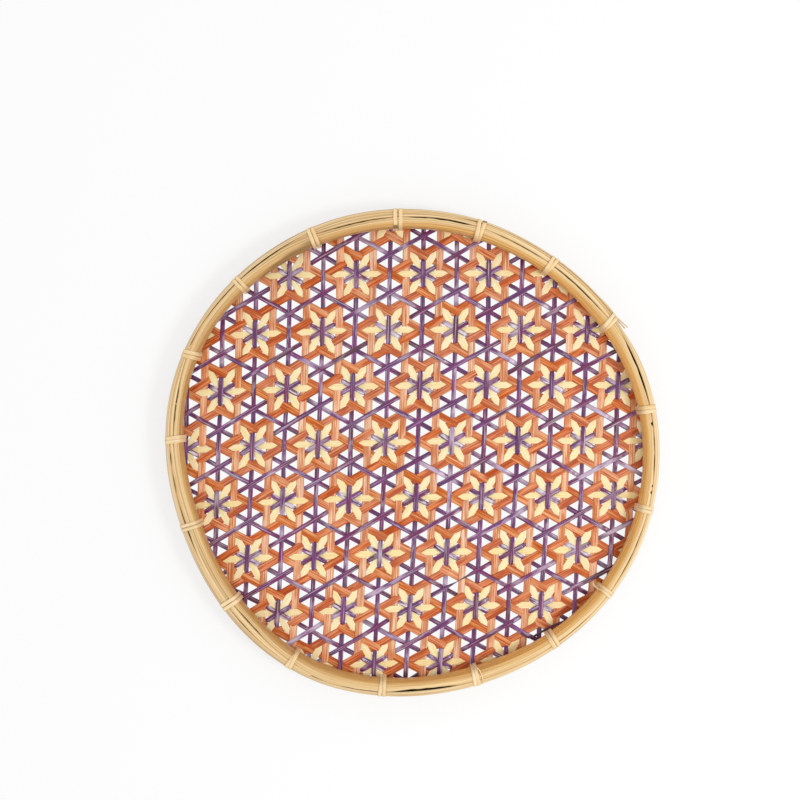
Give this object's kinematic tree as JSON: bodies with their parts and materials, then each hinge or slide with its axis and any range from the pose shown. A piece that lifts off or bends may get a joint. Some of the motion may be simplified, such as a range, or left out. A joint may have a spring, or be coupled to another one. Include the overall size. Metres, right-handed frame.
{
  "type": "woven wall basket",
  "caption": "Shallow round bamboo wall basket: an open star-pattern weave of orange, purple and cream strips clamped between two bent hoops and lashed with cane.",
  "frame": {"origin": "middle of the tray, on the plane that it lies on, which is also the wall plane when it hangs", "axes": "+Z out of the open face towards the viewer, +Y up on the wall, +X to the viewer's right"},
  "size_m": [0.3501, 0.3472, 0.0239],
  "materials": {
    "hoop_bamboo": "split bamboo with fine fibre lines, satin",
    "rim_cane": "round cane, satin",
    "lashing_cane": "flat peeled cane, semi-gloss",
    "orange_strip": "dyed bamboo strip, matte with fibre lines",
    "purple_strip": "dyed bamboo strip, glossy outer skin",
    "cream_strip": "undyed bamboo strip, matte"
  },
  "bodies": {
    "root": {"outer_hoop": "hoop_bamboo", "inner_hoop": "hoop_bamboo", "rim_cane": "rim_cane", "lashing_01": "lashing_cane", "lashing_02": "lashing_cane", "lashing_03": "lashing_cane", "lashing_04": "lashing_cane", "lashing_05": "lashing_cane", "lashing_06": "lashing_cane", "lashing_07": "lashing_cane", "lashing_08": "lashing_cane", "lashing_09": "lashing_cane", "lashing_10": "lashing_cane", "lashing_11": "lashing_cane", "lashing_12": "lashing_cane", "lashing_13": "lashing_cane", "lashing_14": "lashing_cane", "lashing_15": "lashing_cane", "lashing_16": "lashing_cane", "lashing_17": "lashing_cane", "orange_upright_strips": "orange_strip", "orange_rising_strips": "orange_strip", "orange_falling_strips": "orange_strip", "purple_falling_strips": "purple_strip", "purple_rising_strips": "purple_strip", "purple_upright_strips": "purple_strip", "cream_level_minus_3": "cream_strip", "cream_level_minus_2": "cream_strip", "cream_level_minus_1": "cream_strip", "cream_level_middle": "cream_strip", "cream_level_plus_1": "cream_strip", "cream_level_plus_2": "cream_strip", "cream_level_plus_3": "cream_strip", "cream_level_plus_4": "cream_strip", "cream_left_leaning_minus_3": "cream_strip", "cream_left_leaning_minus_2": "cream_strip", "cream_left_leaning_minus_1": "cream_strip", "cream_left_leaning_middle": "cream_strip", "cream_left_leaning_plus_1": "cream_strip", "cream_left_leaning_plus_2": "cream_strip", "cream_left_leaning_plus_3": "cream_strip", "cream_left_leaning_plus_4": "cream_strip", "cream_right_leaning_minus_3": "cream_strip", "cream_right_leaning_minus_2": "cream_strip", "cream_right_leaning_minus_1": "cream_strip", "cream_right_leaning_middle": "cream_strip", "cream_right_leaning_plus_1": "cream_strip", "cream_right_leaning_plus_2": "cream_strip", "cream_right_leaning_plus_3": "cream_strip", "cream_right_leaning_plus_4": "cream_strip"}
  },
  "joints": []
}
